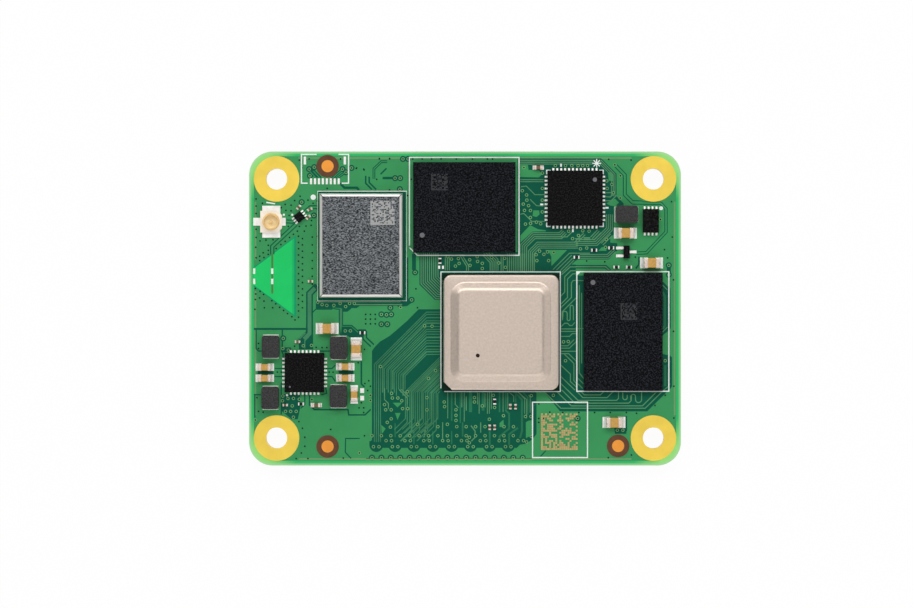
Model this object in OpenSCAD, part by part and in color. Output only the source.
// System on module: a small computer on one circuit board.
// Processor, memory, storage, radio and network chips sit on top of the board, and two
// board-to-board plugs with the decoupling parts sit underneath.
// Millimetres. X runs along the long side, Y along the short side and Z up. The plugs' mating
// faces lie at Z = 0 and the board's centre is on the Z axis.

/* [Board] */
// Length of the board along X
board_l = 55; // [54.6:0.1:58]
// Width of the board along Y
board_w = 40; // [39.6:0.1:43]
// Thickness of the laminate
board_t = 1.2; // [0.8:0.1:2]
// Radius of the board's corners
board_corner_r = 3; // [1:0.25:4]

/* [Mounting holes] */
// Distance from the board's edges to the centre of a hole
hole_inset = 3.5; // [3.2:0.1:3.7]
// Clear diameter of a plated hole
hole_d = 2.7; // [2.2:0.1:3.4]
// Diameter of the plated ring around a hole
ring_d = 5.8; // [4.4:0.1:6.1]
// Thickness of the plating on rings, hole walls and alignment dots
plating_t = 0.05; // [0.03:0.01:0.08]
// Diameter of a copper alignment dot
fiducial_d = 1.55; // [1:0.05:2]

/* [Processor] */
// Side of the square substrate
soc_l = 14.9; // [14.7:0.1:15.3]
// Thickness of the substrate
soc_substrate_t = 0.9; // [0.7:0.05:1]
// Height of the lid's top above the board
soc_h = 2.38; // [2.1:0.02:2.8]
// Side of the stamped lid
lid_l = 14.6; // [13.8:0.1:14.6]
// Sheet thickness of the lid
lid_t = 0.6; // [0.4:0.05:0.7]
// Radius of the lid's outer corners
lid_corner_r = 1; // [0.5:0.1:1.5]
// Leg of the corner that is cut off at the first ball
lid_corner_cut = 1.05; // [0.6:0.05:1.4]
// Width of the lid's flat rim
lid_rim_w = 1; // [0.9:0.05:1.3]
// Corner radius of the lid's raised top
lid_top_r = 0.6; // [0.3:0.1:1.5]
// Width of the lid's slope, seen from above
lid_slope = 1.05; // [0.8:0.05:1.2]
// Side of the silicon die under the lid
die_l = 8; // [6:0.25:9]
// Distance between the processor's solder balls
soc_ball_pitch = 0.65; // [0.65:0.05:1]

/* [Memory and storage] */
// Length of the storage package along X
emmc_l = 13; // [12.5:0.1:13.4]
// Width of the storage package along Y
emmc_w = 11.5; // [11:0.1:11.9]
// Thickness of the storage package
emmc_t = 0.8; // [0.6:0.05:1]
// Length of the memory package along X
ram_l = 10; // [9.6:0.1:10.6]
// Width of the memory package along Y
ram_w = 15; // [14.6:0.1:15.2]
// Thickness of the memory package
ram_t = 0.8; // [0.6:0.05:1]

/* [Solder] */
// Diameter of a solder ball
ball_d = 0.4; // [0.35:0.01:0.45]
// Height of a solder ball after soldering
ball_h = 0.3; // [0.22:0.01:0.33]
// Thickness of the solder under a terminal
solder_t = 0.05; // [0.03:0.01:0.08]

/* [Leadless chips] */
// Side of the network chip
ethernet_l = 7; // [6.8:0.1:7.2]
// Side of the power chip
power_l = 5; // [4.8:0.1:5.2]
// Height of the network and power chips
flat_chip_h = 0.85; // [0.6:0.05:1]
// Distance between neighbouring leads of the leadless chips
lead_pitch = 0.5; // [0.44:0.02:0.52]
// Width of a lead
lead_w = 0.24; // [0.18:0.01:0.28]
// Length of the load switch chip along Y
load_switch_w = 3; // [2.8:0.1:3.2]

/* [Radio shield] */
// Length of the shield can along X
can_l = 10.57; // [10.3:0.01:10.8]
// Width of the shield can along Y
can_w = 13.22; // [13:0.01:13.4]
// Height of the shield can on its substrate
can_h = 1.2; // [1:0.05:1.5]
// Sheet thickness of the shield can
can_t = 0.15; // [0.1:0.01:0.2]
// Outside bend radius of the shield can
can_bend_r = 0.42; // [0.3:0.02:0.5]
// Width of the open slit at each corner of the can
can_slit = 0.08; // [0.05:0.01:0.12]
// Thickness of the radio's own substrate
radio_substrate_t = 0.3; // [0.2:0.02:0.4]

/* [Inductors and capacitors] */
// Length of an inductor over its terminals
inductor_l = 2.85; // [2.4:0.05:2.9]
// Width of an inductor
inductor_w = 2.2; // [1.8:0.05:2.3]
// Height of an inductor
inductor_h = 1.2; // [0.8:0.05:1.4]
// Length of a large capacitor
large_cap_l = 2.05; // [1.8:0.05:2.15]
// Width of a large capacitor
large_cap_w = 1.3; // [1.1:0.05:1.4]
// Length of a medium capacitor
medium_cap_l = 1.65; // [1.5:0.05:1.75]
// Width of a medium capacitor
medium_cap_w = 0.88; // [0.7:0.02:0.96]
// Length of a small capacitor
small_cap_l = 1; // [0.9:0.02:1.05]
// Length of the smallest capacitors and resistors
tiny_chip_l = 0.6; // [0.54:0.02:0.64]

/* [Antenna socket] */
// Side of the socket's insulator
socket_l = 2.75; // [2.5:0.05:2.85]
// Outside diameter of the socket's ring
socket_d = 2; // [1.8:0.05:2.1]
// Height of the socket's ring above the board
socket_h = 1.25; // [1:0.05:1.5]

/* [Board connectors] */
// Distance between the centre lines of the two plugs
connector_spacing = 33; // [31:0.5:33.5]
// Height of a plug from the board to its mating face
connector_h = 1.12; // [0.96:0.02:1.5]
// Number of contacts in each row of a plug
contact_count = 50; // [30:1:50]
// Distance between neighbouring contacts
contact_pitch = 0.4; // [0.35:0.01:0.42]
// Width of a contact
contact_w = 0.16; // [0.12:0.01:0.2]
// Width of a plug's housing across its two walls
connector_w = 2.3; // [2.1:0.05:2.6]
// Thickness of each long wall of a plug
connector_wall = 0.5; // [0.4:0.05:0.6]

/* [Hidden] */
$fn = 48;
// Overshoot that lets a cut pass cleanly through a face
eps = 0.02;

// Levels
bottom_z = connector_h;
top_z = connector_h + board_t;
chip_z = top_z + solder_t;

// Places on the board, as x and y, and a turn in degrees where a part is turned
soc_at = [4.57, -3.03];
emmc_at = [-0.09, 12.83];
ram_at = [20.09, -2.97];
ethernet_at = [14, 14.03];
power_at = [-20.42, -8.15];
radio_at = [-13.2, 8];
socket_at = [-24.66, 11.05];
antenna_switch_at = [-21.09, 11.65, 39];
load_switch_at = [23.63, 11.15];
transistor_at = [20.55, 7.2];
inductors = [[-24.7, -4.85, 90], [-16.05, -5, 90], [-24.76, -11.35, 90], [-16.1, -11.15, 90],
    [20.55, 11.97, 0]];
large_capacitors = [[20.43, 9.6, 0], [23.75, 5.8, 0], [-17.55, -2.55, 0], [18.97, -14.5, 0],
    [-13.85, -5.15, 90]];
medium_capacitors = [[-25.5, -7.47, 0], [-25.5, -8.87, 0], [-15.25, -7.4, 0], [-15.25, -8.85, 0],
    [-14.1, -10.95, 90]];
small_capacitors = [[9.33, 17.94, 0], [-18.93, -12.3, 0]];
tiny_capacitors = [[-19.67, 3.46, 0], [-21.33, -4.23, 0], [-22.9, -12.3, 0], [5.77, -12.5, 90],
    [6.43, -12.5, 90], [3.14, -15.13, 90], [3.77, -15.13, 90], [-21.18, 12.89, 45],
    [-19.76, 12.62, 25], [-19.96, 11.6, 45]];
resistors = [[18.62, 7.72, 0], [16.44, 7.43, 0], [14.2, 6.53, 0], [19.27, 5.27, 0],
    [20.88, 5.27, 0], [-13.06, -3.09, 0], [-20.88, -12.15, 0], [-3.19, 6.07, 90],
    [3.77, -11.85, 90]];
connector_x = -2;
boot_flash_at = [-12, 8];
system_crystal_at = [-7.5, -3];
ethernet_crystal_at = [14, 9];
// Underside decoupling capacitors: a field under the processor and a column pair under the memory
soc_cap_step = [1.9, 1.3];
soc_cap_grid = [5, 6];
ram_cap_step = [3, 2];
ram_cap_grid = [2, 5];
underside_capacitors = concat(
    grid_points(soc_at, soc_cap_grid, soc_cap_step), grid_points(ram_at, ram_cap_grid, ram_cap_step));

// Alignment dots, each at a distance from its own board edge
fiducial_left = -17.5;
fiducial_right = 19.5;
fiducial_rear_inset = 1.87;
fiducial_front_inset = 2.43;
fiducial_right_inset = 2.5;
fiducials = [[fiducial_left, board_w / 2 - fiducial_rear_inset],
    [fiducial_left, fiducial_front_inset - board_w / 2],
    [fiducial_right, fiducial_right_inset - board_w / 2]];

// Chip sizes as length, width and height, with the length of a terminal's band
large_cap_h = 1.15;
medium_cap_h = 0.8;
resistor_h = 0.23;
large_cap = [large_cap_l, large_cap_w, large_cap_h];
medium_cap = [medium_cap_l, medium_cap_w, medium_cap_h];
small_cap = [small_cap_l, small_cap_l / 2, small_cap_l / 2];
tiny_cap = [tiny_chip_l, tiny_chip_l / 2, tiny_chip_l / 2];
tiny_resistor = [tiny_chip_l * 1.1, tiny_chip_l * 0.6, resistor_h];
band_share = 0.25;
resistor_band_share = 0.18;
inductor_plate_share = 0.7;
inductor_corner_r = 0.38;
inductor_toe = 0.1;
plate_skin = 0.03;
edge_r_share = 0.1;
soft_chip_w = 0.6;

// Leadless chips as length, width, height, leads along X, leads along Y, lead pitch,
// lead width, lead length and side gap of the centre pad
ethernet = [ethernet_l, ethernet_l, flat_chip_h, 12, 12, lead_pitch, lead_w, 0.4, 0.7];
power = [power_l, power_l, flat_chip_h, 8, 8, lead_pitch, lead_w, 0.4, 0.7];
load_switch = [2, load_switch_w, 0.75, 4, 0, lead_pitch, lead_w, 0.4, 0.6];
boot_flash = [2, 3, 0.55, 4, 0, lead_pitch, lead_w, 0.4, 0.6];
antenna_switch = [1.1, 1.1, 0.45, 0, 3, 0.36, 0.2, 0.22, 0.4];
lead_t = 0.2;
toe_l = 0.35;
chip_toe_share = 0.21;
tiny_toe_share = 0.08;

// Processor stack, measured up from the board
soc_substrate_top = ball_h + soc_substrate_t;
lid_adhesive_t = 0.08;
lid_adhesive_inset = 0.15;
lid_adhesive_margin = 0.1;
lid_top_l = lid_l - 2 * (lid_rim_w + lid_slope);
lid_base = soc_substrate_top + lid_adhesive_t;
paste_t = 0.1;
die_t = soc_h - lid_t - paste_t - soc_substrate_top;
slope_steps = 16;
lid_shoulder_share = 0.45;
lid_foot_share = 0.15;
ball_margin = 0.55;
emmc_ball_pitch = 0.5;
emmc_ball_count = 14;
emmc_ball_rows = 3;
ram_ball_step = [0.8, 0.65];
ram_ball_grid = [10, 20];

// Radio parts under the shield can
radio_chip_size = [5, 4.8, 0.45];
radio_chip_at = [-1.4, 1.6];
radio_crystal_size = [2, 1.6, 0.5];
radio_crystal_at = [3.2, -3.6];
radio_passive_count = 6;
radio_passive_step = 1.1;
radio_passive_y = -3.6;

// Antenna socket, measured from its ring's centre
socket_base_h = 0.5;
socket_wall = 0.15;
socket_shoulder = 0.1;
socket_leg_t = 0.15;
socket_leg_w = 2.3;
socket_leg_reach = 2.03;
socket_tab_w = 1;
socket_strip_reach = 2.3;
socket_strip_t = 0.1;
socket_pin_r = 0.2;
socket_pin_h = 1;
socket_chamfer = 0.55;

// Transistor with bent leads
transistor_size = [0.75, 1.6, 0.7];
transistor_lead = [0.28, 0.12];
transistor_reach = 1.15;

// Plug sections, measured down from the board
connector_end = 1;
connector_floor = 0.3;
contact_t = 0.08;
contact_foot = 0.5;
crest = connector_h - 0.14;
connector_l = (contact_count - 1) * contact_pitch + 2 * connector_end;
key_chamfer = 0.5;

// Crystals in ceramic cases with metal lids
crystal_size = [2, 1.6, 0.5];
crystal_lid_inset = 0.12;
crystal_case_share = 0.7;

function grid_points(at, count, step) = [
    for (i = [0:count[0] - 1], j = [0:count[1] - 1])
        [at[0] + (i - (count[0] - 1) / 2) * step[0], at[1] + (j - (count[1] - 1) / 2) * step[1], 0]
];

// A place without a third number isn't turned
function turn_of(at) = len(at) > 2 ? at[2] : 0;

// Helpers: flat outlines and boxes

module rounded_square(l, w, r) {
    square([l - 2 * r, w], center = true);
    square([l, w - 2 * r], center = true);
    for (x = [-1, 1], y = [-1, 1])
        translate([x * (l / 2 - r), y * (w / 2 - r)]) circle(r);
}

module box(size) translate([-size[0] / 2, -size[1] / 2, 0]) cube(size);

// A box with all its edges rounded
module soft_box(l, w, h, r) {
    intersection() {
        linear_extrude(h) rounded_square(l, w, r);
        translate([0, w / 2, h / 2]) rotate([90, 0, 0]) linear_extrude(w) rounded_square(l, h, r);
        translate([-l / 2, 0, h / 2]) rotate([90, 0, 90]) linear_extrude(l) rounded_square(w, h, r);
    }
}

// Places a part on the board's top, standing on its solder
module on_top(at, z = chip_z) translate([at[0], at[1], z]) rotate(turn_of(at)) children();

// Places a part under the board, upside down
module on_underside(at, lift = solder_t) {
    translate([at[0], at[1], bottom_z - lift]) mirror([0, 0, 1]) rotate(turn_of(at)) children();
}

// Helpers: solder

module solder_ball() {
    intersection() {
        translate([0, 0, ball_h / 2]) sphere(ball_d / 2);
        box([2 * ball_d, 2 * ball_d, ball_h]);
    }
}

module ball_grid(count, step) {
    for (p = grid_points([0, 0], count, step)) translate([p[0], p[1], 0]) solder_ball();
}

// Solder under a terminal whose outer end is at the origin, with a hollow fillet up that end
module solder_joint(w, under, toe, rise) {
    edge = solder_t / 2;
    curve = [for (a = [0:15:90]) [toe * (1 - sin(a)), edge + (rise - edge) * (1 - cos(a))]];
    outline = concat([[-under, 0], [toe, 0]], curve, [[0, solder_t], [-under, solder_t]]);
    translate([0, w / 2, 0]) rotate([90, 0, 0]) linear_extrude(w) polygon(outline);
}

// Helpers: capacitors and resistors with two metal end caps

// Box of a chip: the edges of the larger ones are rounded
module chip_box(size) {
    if (size[1] > soft_chip_w) soft_box(size[0], size[1], size[2], size[1] * edge_r_share);
    else box(size);
}

module chip_core(size) {
    skin = [plate_skin, plate_skin, plate_skin];
    translate([0, 0, plate_skin]) chip_box(size - 2 * skin);
}

module chip_ends(size, share = band_share) {
    band = size[0] * share;
    difference() {
        intersection() {
            chip_box(size);
            for (side = [-1, 1]) translate([side * (size[0] - band) / 2, 0, 0]) box([band, size[1], size[2]]);
        }
        chip_core(size);
    }
}

module chip_solder(size, share = band_share, toe_share = chip_toe_share, rise_share = 0.6) {
    for (side = [0, 180]) rotate(side) translate([size[0] / 2, 0, -solder_t])
        solder_joint(size[1] * 1.08, size[0] * share, size[0] * toe_share,
            solder_t + size[2] * rise_share);
}

// Helpers: leadless chips

// Puts its child at the outer end of every lead, pointing outward along X
module each_lead(chip) {
    for (side = [0, 180], i = [0:1:chip[4] - 1]) rotate(side)
        translate([chip[0] / 2, (i - (chip[4] - 1) / 2) * chip[5], 0]) children();
    for (side = [90, 270], i = [0:1:chip[3] - 1]) rotate(side)
        translate([chip[1] / 2, (i - (chip[3] - 1) / 2) * chip[5], 0]) children();
}

module leadless_metal(chip, over = 0) {
    each_lead(chip) translate([-chip[7], -chip[6] / 2, -over]) cube([chip[7] + over, chip[6], lead_t + over]);
    translate([0, 0, -over]) box([chip[0] - 2 * chip[8], chip[1] - 2 * chip[8], lead_t + over]);
}

module leadless_body(chip) {
    difference() {
        box([chip[0], chip[1], chip[2]]);
        leadless_metal(chip, eps);
    }
}

module leadless_solder(chip) {
    translate([0, 0, -solder_t]) {
        each_lead(chip) solder_joint(chip[6], chip[7], toe_l, solder_t + lead_t);
        box([chip[0] - 2 * chip[8], chip[1] - 2 * chip[8], solder_t]);
    }
}

// The board and its plating

module hole_centres() {
    for (x = [-1, 1], y = [-1, 1])
        translate([x * (board_l / 2 - hole_inset), y * (board_w / 2 - hole_inset), 0]) children();
}

module circuit_board() color("#2f8c58") {
    difference() {
        translate([0, 0, bottom_z]) linear_extrude(board_t) rounded_square(board_l, board_w, board_corner_r);
        hole_centres() translate([0, 0, bottom_z - eps])
            cylinder(h = board_t + 2 * eps, d = hole_d + 2 * plating_t);
    }
}

module plated_holes() color("#e8c860") {
    wall = plating_t;
    outline = [[hole_d / 2, -wall], [ring_d / 2, -wall], [ring_d / 2, 0], [hole_d / 2 + wall, 0],
        [hole_d / 2 + wall, board_t], [ring_d / 2, board_t], [ring_d / 2, board_t + wall],
        [hole_d / 2, board_t + wall]];
    hole_centres() translate([0, 0, bottom_z]) rotate_extrude() polygon(outline);
}

module fiducial_dots() color("#e08a30") {
    for (p = fiducials) translate([p[0], p[1], top_z]) cylinder(h = plating_t, d = fiducial_d);
}

// The processor

module soc_solder_balls() color("#b8b8b8") {
    count = floor((soc_l - 2 * ball_margin) / soc_ball_pitch) + 1;
    on_top(soc_at, top_z) ball_grid([count, count], [soc_ball_pitch, soc_ball_pitch]);
}

module soc_substrate() color("#1d2420") {
    on_top(soc_at, top_z + ball_h) box([soc_l, soc_l, soc_substrate_t]);
}

module soc_die() color("#55585e") {
    on_top(soc_at, top_z + soc_substrate_top) box([die_l, die_l, die_t]);
}

module soc_thermal_paste() color("#d8d8d4") {
    on_top(soc_at, top_z + soc_substrate_top + die_t) box([die_l, die_l, paste_t]);
}

module soc_lid_adhesive() color("#2a2a2c") {
    inner = lid_top_l + 2 * (lid_slope + lid_adhesive_margin);
    outer = lid_l - 2 * lid_adhesive_inset;
    on_top(soc_at, top_z + soc_substrate_top) linear_extrude(lid_adhesive_t) difference() {
        lid_outline(outer, lid_corner_cut);
        rounded_square(inner, inner, lid_top_r + lid_slope);
    }
}

module lid_outline(l, cut) {
    difference() {
        rounded_square(l, l, lid_corner_r);
        translate([-l / 2, -l / 2]) rotate(45) square(cut * sqrt(2), center = true);
    }
}

// Share of the lid's fall at a share of its slope: a wide shoulder, a straight run and a tight foot
function lid_fall(u) = let (s = lid_shoulder_share, f = lid_foot_share, whole = 1 - (s + f) / 2)
    (u < s ? u * u / (2 * s) : u < 1 - f ? u - s / 2 : whole - (1 - u) * (1 - u) / (2 * f)) / whole;

// The raised middle of the lid: a flat square top that falls away on all sides
module lid_dome(foot_z, floor_z) {
    rise = soc_h - lid_t - lid_base;
    c = lid_top_l / 2 - lid_top_r;
    curve = [for (i = [0:slope_steps]) let (u = i / slope_steps)
        [lid_top_r + lid_slope * u, foot_z + rise * (1 - lid_fall(u))]];
    outline = concat([[0, floor_z], [0, foot_z + rise]], curve, [[lid_top_r + lid_slope, floor_z]]);
    translate([0, 0, floor_z]) box([2 * c, 2 * c, foot_z + rise - floor_z]);
    for (turn = [0:90:270]) rotate(turn) translate([c, c, 0]) {
        rotate([90, 0, 0]) linear_extrude(2 * c) polygon(outline);
        rotate_extrude(angle = 90) polygon(outline);
    }
}

module soc_lid() color("#c9b9ab") {
    on_top(soc_at, top_z) difference() {
        union() {
            translate([0, 0, lid_base]) linear_extrude(lid_t) lid_outline(lid_l, lid_corner_cut);
            lid_dome(lid_base + lid_t, lid_base);
        }
        lid_dome(lid_base, lid_base - eps);
    }
}

// Memory and storage

module emmc_solder_balls() color("#b8b8b8") {
    last = emmc_ball_count - 1;
    on_top(emmc_at, top_z)
        for (i = [0:last], j = [0:last])
            if (min(i, j, last - i, last - j) < emmc_ball_rows)
                translate([i - last / 2, j - last / 2, 0] * emmc_ball_pitch) solder_ball();
}

module emmc_package() color("#1b1d20") on_top(emmc_at, top_z + ball_h) box([emmc_l, emmc_w, emmc_t]);

module ram_solder_balls() color("#b8b8b8") on_top(ram_at, top_z) ball_grid(ram_ball_grid, ram_ball_step);

module ram_package() color("#1b1d20") on_top(ram_at, top_z + ball_h) box([ram_l, ram_w, ram_t]);

// Network, power and switching chips

module ethernet_chip() color("#202226") on_top(ethernet_at) leadless_body(ethernet);

module ethernet_chip_leads() color("#cfcfd0") on_top(ethernet_at) leadless_metal(ethernet);

module power_chip() color("#202226") on_top(power_at) leadless_body(power);

module power_chip_leads() color("#cfcfd0") on_top(power_at) leadless_metal(power);

module load_switch_chip() color("#202226") on_top(load_switch_at) leadless_body(load_switch);

module load_switch_leads() color("#cfcfd0") on_top(load_switch_at) leadless_metal(load_switch);

module antenna_switch_chip() color("#33363a") on_top(antenna_switch_at) leadless_body(antenna_switch);

module antenna_switch_leads() color("#cfcfd0") on_top(antenna_switch_at) leadless_metal(antenna_switch);

// A bent lead that leaves the body at half height and ends flat on its solder
module transistor_bent_lead() {
    t = transistor_lead[1];
    out = transistor_size[0] / 2;
    bend = out + t + 0.05;
    mid = transistor_size[2] / 2;
    outline = [[out, mid - t], [bend - t, mid - t], [bend - t, 0], [transistor_reach, 0],
        [transistor_reach, t], [bend, t], [bend, mid], [out, mid]];
    translate([0, transistor_lead[0] / 2, 0]) rotate([90, 0, 0])
        linear_extrude(transistor_lead[0]) polygon(outline);
}

module transistor_lead_places() {
    for (y = [-1, 1]) translate([0, y * lead_pitch, 0]) rotate(180) children();
    children();
}

module transistor_body() color("#202226") on_top(transistor_at, chip_z + eps) {
    box([transistor_size[0], transistor_size[1], transistor_size[2] - eps]);
}

module transistor_leads() color("#cfcfd0") on_top(transistor_at) {
    transistor_lead_places() transistor_bent_lead();
}

// The antenna socket

module socket_outline() {
    h = socket_l / 2;
    c = socket_chamfer;
    polygon([[-h, -h], [h - c, -h], [h, c - h], [h, h - c], [h - c, h], [-h, h]]);
}

// The ring above the insulator and its wider shoulder inside it, from the legs' top upward
module socket_ring(over = 0) {
    shoulder_h = socket_base_h - socket_leg_t;
    difference() {
        union() {
            cylinder(h = socket_h - socket_leg_t + over, d = socket_d);
            cylinder(h = shoulder_h + over, d = socket_d + 2 * socket_shoulder);
        }
        translate([0, 0, -eps]) cylinder(h = socket_h + over + 1, d = socket_d - 2 * socket_wall);
    }
}

// Ground legs under the insulator, reaching out to both sides and to the right
module socket_legs_outline() {
    inner = socket_d / 2 - socket_wall;
    for (side = [-1, 1]) translate([-socket_leg_w / 2, side > 0 ? inner : -socket_leg_reach])
        square([socket_leg_w, socket_leg_reach - inner]);
    translate([inner, -socket_tab_w / 2]) square([socket_leg_reach - 0.2 - inner, socket_tab_w]);
}

// Signal strip under the insulator, from the centre pin out to a wider tab on the left
module socket_strip_outline() {
    translate([-socket_strip_reach, -socket_tab_w / 4]) square([socket_strip_reach, socket_tab_w / 2]);
    translate([-socket_strip_reach, -socket_tab_w / 2]) square([0.9, socket_tab_w]);
}

module antenna_socket_base() color("#d9d2c0") on_top(socket_at) {
    difference() {
        linear_extrude(socket_base_h) socket_outline();
        translate([0, 0, socket_leg_t]) socket_ring(eps);
        translate([0, 0, -eps]) linear_extrude(socket_leg_t + eps) socket_legs_outline();
        translate([0, 0, -eps]) linear_extrude(socket_strip_t + eps) socket_strip_outline();
        cylinder(h = socket_h, r = socket_pin_r);
    }
}

module antenna_socket_shell() color("#e6c25a") on_top(socket_at) {
    translate([0, 0, socket_leg_t]) socket_ring();
    linear_extrude(socket_leg_t) socket_legs_outline();
}

module antenna_socket_pin() color("#e6c25a") on_top(socket_at) {
    linear_extrude(socket_strip_t) socket_strip_outline();
    cylinder(h = socket_pin_h, r = socket_pin_r);
}

// The radio under its shield can

radio_z = top_z + radio_substrate_t;

module radio_substrate() color("#2a6b48") on_top(radio_at, top_z) box([can_l, can_w, radio_substrate_t]);

module radio_chip() color("#26282c") on_top(radio_at, radio_z) {
    translate([radio_chip_at[0], radio_chip_at[1], 0]) box(radio_chip_size);
}

module radio_crystal() color("#b9b4a6") on_top(radio_at, radio_z) {
    translate([radio_crystal_at[0], radio_crystal_at[1], 0]) crystal_case(radio_crystal_size);
}

module radio_passives() color("#b98a4a") on_top(radio_at, radio_z) {
    for (i = [0:radio_passive_count - 1])
        translate([(i - radio_passive_count + 1) * radio_passive_step + 1.4, radio_passive_y, 0])
            rotate(90) box(small_cap);
}

// Outer or inner skin of the can: a flat top whose four sides fold down round a bend
module can_skin(l, w, h, r) {
    intersection() {
        translate([0, w / 2, 0]) rotate([90, 0, 0]) linear_extrude(w) can_section(l, h, r);
        translate([-l / 2, 0, 0]) rotate([90, 0, 90]) linear_extrude(l) can_section(w, h, r);
    }
}

module can_section(l, h, r) {
    translate([-l / 2, 0]) square([l, h - r]);
    translate([r - l / 2, 0]) square([l - 2 * r, h]);
    for (side = [-1, 1]) translate([side * (l / 2 - r), h - r]) circle(r);
}

module radio_shield_can() color("#8d9094") on_top(radio_at, radio_z) {
    difference() {
        can_skin(can_l, can_w, can_h, can_bend_r);
        translate([0, 0, -eps])
            can_skin(can_l - 2 * can_t, can_w - 2 * can_t, can_h - can_t + eps, can_bend_r - can_t);
        for (x = [-1, 1], y = [-1, 1])
            translate([x * (can_l / 2 - can_bend_r), y * (can_w / 2 - can_bend_r), -eps])
                rotate(x * y > 0 ? 45 : -45) box([2.2 * can_bend_r, can_slit, can_h + 2 * eps]);
    }
}

// Inductors

// A pressed core whose upper part overhangs the two end plates
module inductor_core(i) color("#454346") on_top(inductors[i]) {
    t = 2 * plate_skin;
    plate_h = inductor_h * inductor_plate_share;
    translate([0, 0, t]) linear_extrude((inductor_h + plate_h) / 2 - t)
        rounded_square(inductor_l - 2 * t, inductor_w, inductor_corner_r);
    translate([0, 0, plate_h]) linear_extrude(inductor_h - plate_h)
        rounded_square(inductor_l, inductor_w, inductor_corner_r);
}

// An end plate with a foot folded under the core
module inductor_terminal() {
    t = 2 * plate_skin;
    foot = inductor_l * band_share;
    translate([inductor_l / 2 - foot, -inductor_w / 2 + 0.1, 0]) cube([foot, inductor_w - 0.2, t]);
    translate([inductor_l / 2 - t, -inductor_w / 2 + inductor_corner_r, 0])
        cube([t, inductor_w - 2 * inductor_corner_r, inductor_h * inductor_plate_share]);
}

module inductor_terminals() color("#c9c4bd") {
    for (place = inductors) on_top(place) for (side = [0, 180]) rotate(side) inductor_terminal();
}

module inductor_solder() {
    for (side = [0, 180]) rotate(side) translate([inductor_l / 2, 0, -solder_t])
        solder_joint(inductor_w - 0.2, inductor_l * band_share, inductor_toe, solder_t + inductor_h * 0.4);
}

// Capacitors and resistors

module large_capacitor_bodies() color("#c49a54") {
    for (p = large_capacitors) on_top(p) chip_core(large_cap);
}

module large_capacitor_terminals() color("#c4b8aa") {
    for (p = large_capacitors) on_top(p) chip_ends(large_cap);
}

module medium_capacitor_bodies() color("#c49a54") {
    for (p = medium_capacitors) on_top(p) chip_core(medium_cap);
}

module medium_capacitor_terminals() color("#c4b8aa") {
    for (p = medium_capacitors) on_top(p) chip_ends(medium_cap);
}

module small_capacitor_bodies() color("#7a5a3c") {
    for (p = small_capacitors) on_top(p) chip_core(small_cap);
    for (p = tiny_capacitors) on_top(p) chip_core(tiny_cap);
}

module small_capacitor_terminals() color("#d4ccc4") {
    for (p = small_capacitors) on_top(p) chip_ends(small_cap);
    for (p = tiny_capacitors) on_top(p) chip_ends(tiny_cap);
}

module chip_resistor_bodies() color("#17181a") {
    for (p = resistors) on_top(p) chip_core(tiny_resistor);
}

module chip_resistor_terminals() color("#d4ccc4") {
    for (p = resistors) on_top(p) chip_ends(tiny_resistor, resistor_band_share);
}

// Board-to-board plugs, drawn with Z pointing away from the board

module connector_housing() {
    half = connector_w / 2;
    difference() {
        linear_extrude(connector_h) difference() {
            square([connector_l, connector_w], center = true);
            for (y = [-1, 1]) translate([connector_l / 2, y * half]) rotate(45)
                square(key_chamfer * sqrt(2) / 2, center = true);
        }
        translate([0, 0, connector_floor]) box([connector_l - connector_end, connector_w - 2 * connector_wall,
            connector_h]);
        translate([0, 0, crest]) box([connector_l - connector_end, connector_w + 2 * eps, connector_h]);
    }
}

// One contact: a foot on the board, then up the wall, over its crest and down inside
module connector_contact() {
    out = connector_w / 2;
    inside = out - connector_wall;
    t = contact_t;
    outline = [[out, 0], [out + contact_foot, 0], [out + contact_foot, t], [out + t, t], [out + t, crest + t],
        [inside - t, crest + t], [inside - t, connector_floor], [inside, connector_floor], [inside, crest],
        [out, crest]];
    translate([-contact_w / 2, 0, 0]) rotate([90, 0, 90]) linear_extrude(contact_w) polygon(outline);
}

module connector_contacts() {
    for (side = [0, 180], i = [0:contact_count - 1])
        rotate(side) translate([(i - (contact_count - 1) / 2) * contact_pitch, 0, 0]) connector_contact();
}

module at_connector(y) on_underside([connector_x, y * connector_spacing / 2], 0) children();

module front_connector_housing() color("#2b2a28") at_connector(-1) connector_housing();

module front_connector_contacts() color("#e6c25a") at_connector(-1) connector_contacts();

module rear_connector_housing() color("#2b2a28") at_connector(1) connector_housing();

module rear_connector_contacts() color("#e6c25a") at_connector(1) connector_contacts();

// Parts under the board

module crystal_case(size) {
    case_h = size[2] * crystal_case_share;
    box([size[0], size[1], case_h]);
    translate([0, 0, case_h]) linear_extrude(size[2] - case_h)
        rounded_square(size[0] - 2 * crystal_lid_inset, size[1] - 2 * crystal_lid_inset, 0.15);
}

module boot_flash_chip() color("#202226") on_underside(boot_flash_at) leadless_body(boot_flash);

module boot_flash_leads() color("#cfcfd0") on_underside(boot_flash_at) leadless_metal(boot_flash);

module system_crystal() color("#b9b4a6") on_underside(system_crystal_at, 0) crystal_case(crystal_size);

module ethernet_crystal() color("#b9b4a6") on_underside(ethernet_crystal_at, 0) crystal_case(crystal_size);

module underside_capacitor_bodies() color("#8a6a44") {
    for (p = underside_capacitors) on_underside(p) chip_core(small_cap);
}

module underside_capacitor_terminals() color("#d4ccc4") {
    for (p = underside_capacitors) on_underside(p) chip_ends(small_cap);
}

// Solder of every part that has terminals

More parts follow.
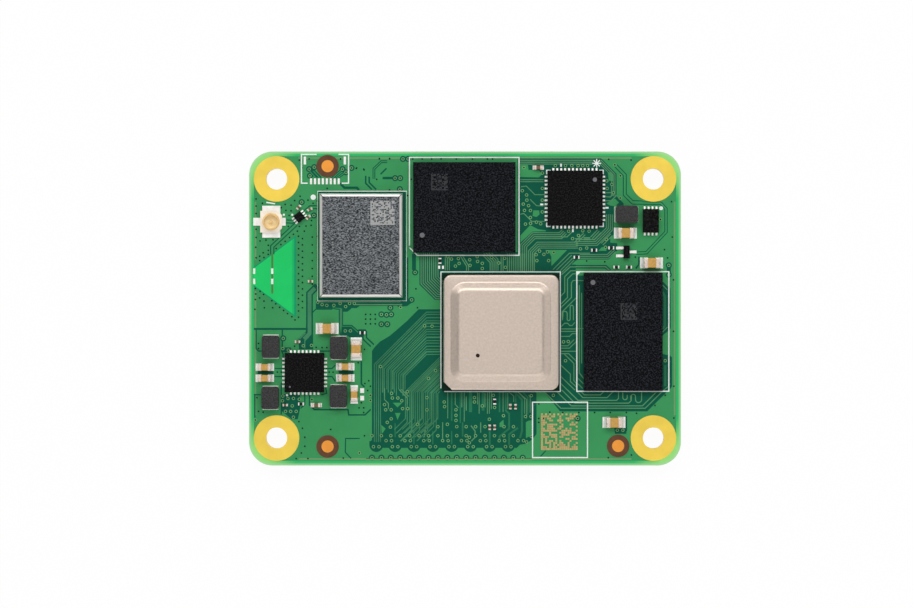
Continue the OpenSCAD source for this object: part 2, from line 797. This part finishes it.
module solder_joints() color("#d6d8da") {
    on_top(ethernet_at) leadless_solder(ethernet);
    on_top(power_at) leadless_solder(power);
    on_top(load_switch_at) leadless_solder(load_switch);
    on_top(antenna_switch_at) leadless_solder(antenna_switch);
    on_underside(boot_flash_at) leadless_solder(boot_flash);
    for (p = inductors) on_top(p) inductor_solder();
    for (p = large_capacitors) on_top(p) chip_solder(large_cap);
    for (p = medium_capacitors) on_top(p) chip_solder(medium_cap);
    for (p = small_capacitors) on_top(p) chip_solder(small_cap);
    for (p = tiny_capacitors) on_top(p) chip_solder(tiny_cap, toe_share = tiny_toe_share);
    for (p = resistors) on_top(p) chip_solder(tiny_resistor, resistor_band_share, tiny_toe_share);
    for (p = underside_capacitors) on_underside(p) chip_solder(small_cap);
    on_top(transistor_at, top_z) transistor_lead_places() transistor_solder();
    on_top(socket_at, top_z) linear_extrude(solder_t) {
        socket_legs_outline();
        socket_strip_outline();
    }
}

module transistor_solder() {
    length = transistor_reach - transistor_size[0] / 2 - 0.05;
    translate([transistor_reach, 0, 0]) solder_joint(transistor_lead[0] * 1.3, length, 0.15, solder_t * 1.8);
}

circuit_board();
plated_holes();
fiducial_dots();
soc_solder_balls();
soc_substrate();
soc_die();
soc_thermal_paste();
soc_lid_adhesive();
soc_lid();
emmc_solder_balls();
emmc_package();
ram_solder_balls();
ram_package();
ethernet_chip();
ethernet_chip_leads();
power_chip();
power_chip_leads();
load_switch_chip();
load_switch_leads();
transistor_body();
transistor_leads();
antenna_switch_chip();
antenna_switch_leads();
antenna_socket_base();
antenna_socket_shell();
antenna_socket_pin();
radio_substrate();
radio_chip();
radio_crystal();
radio_passives();
radio_shield_can();
inductor_core(0);  // inductor_1_core
inductor_core(1);  // inductor_2_core
inductor_core(2);  // inductor_3_core
inductor_core(3);  // inductor_4_core
inductor_core(4);  // inductor_5_core
inductor_terminals();
large_capacitor_bodies();
large_capacitor_terminals();
medium_capacitor_bodies();
medium_capacitor_terminals();
small_capacitor_bodies();
small_capacitor_terminals();
chip_resistor_bodies();
chip_resistor_terminals();
front_connector_housing();
front_connector_contacts();
rear_connector_housing();
rear_connector_contacts();
boot_flash_chip();
boot_flash_leads();
system_crystal();
ethernet_crystal();
underside_capacitor_bodies();
underside_capacitor_terminals();
solder_joints();
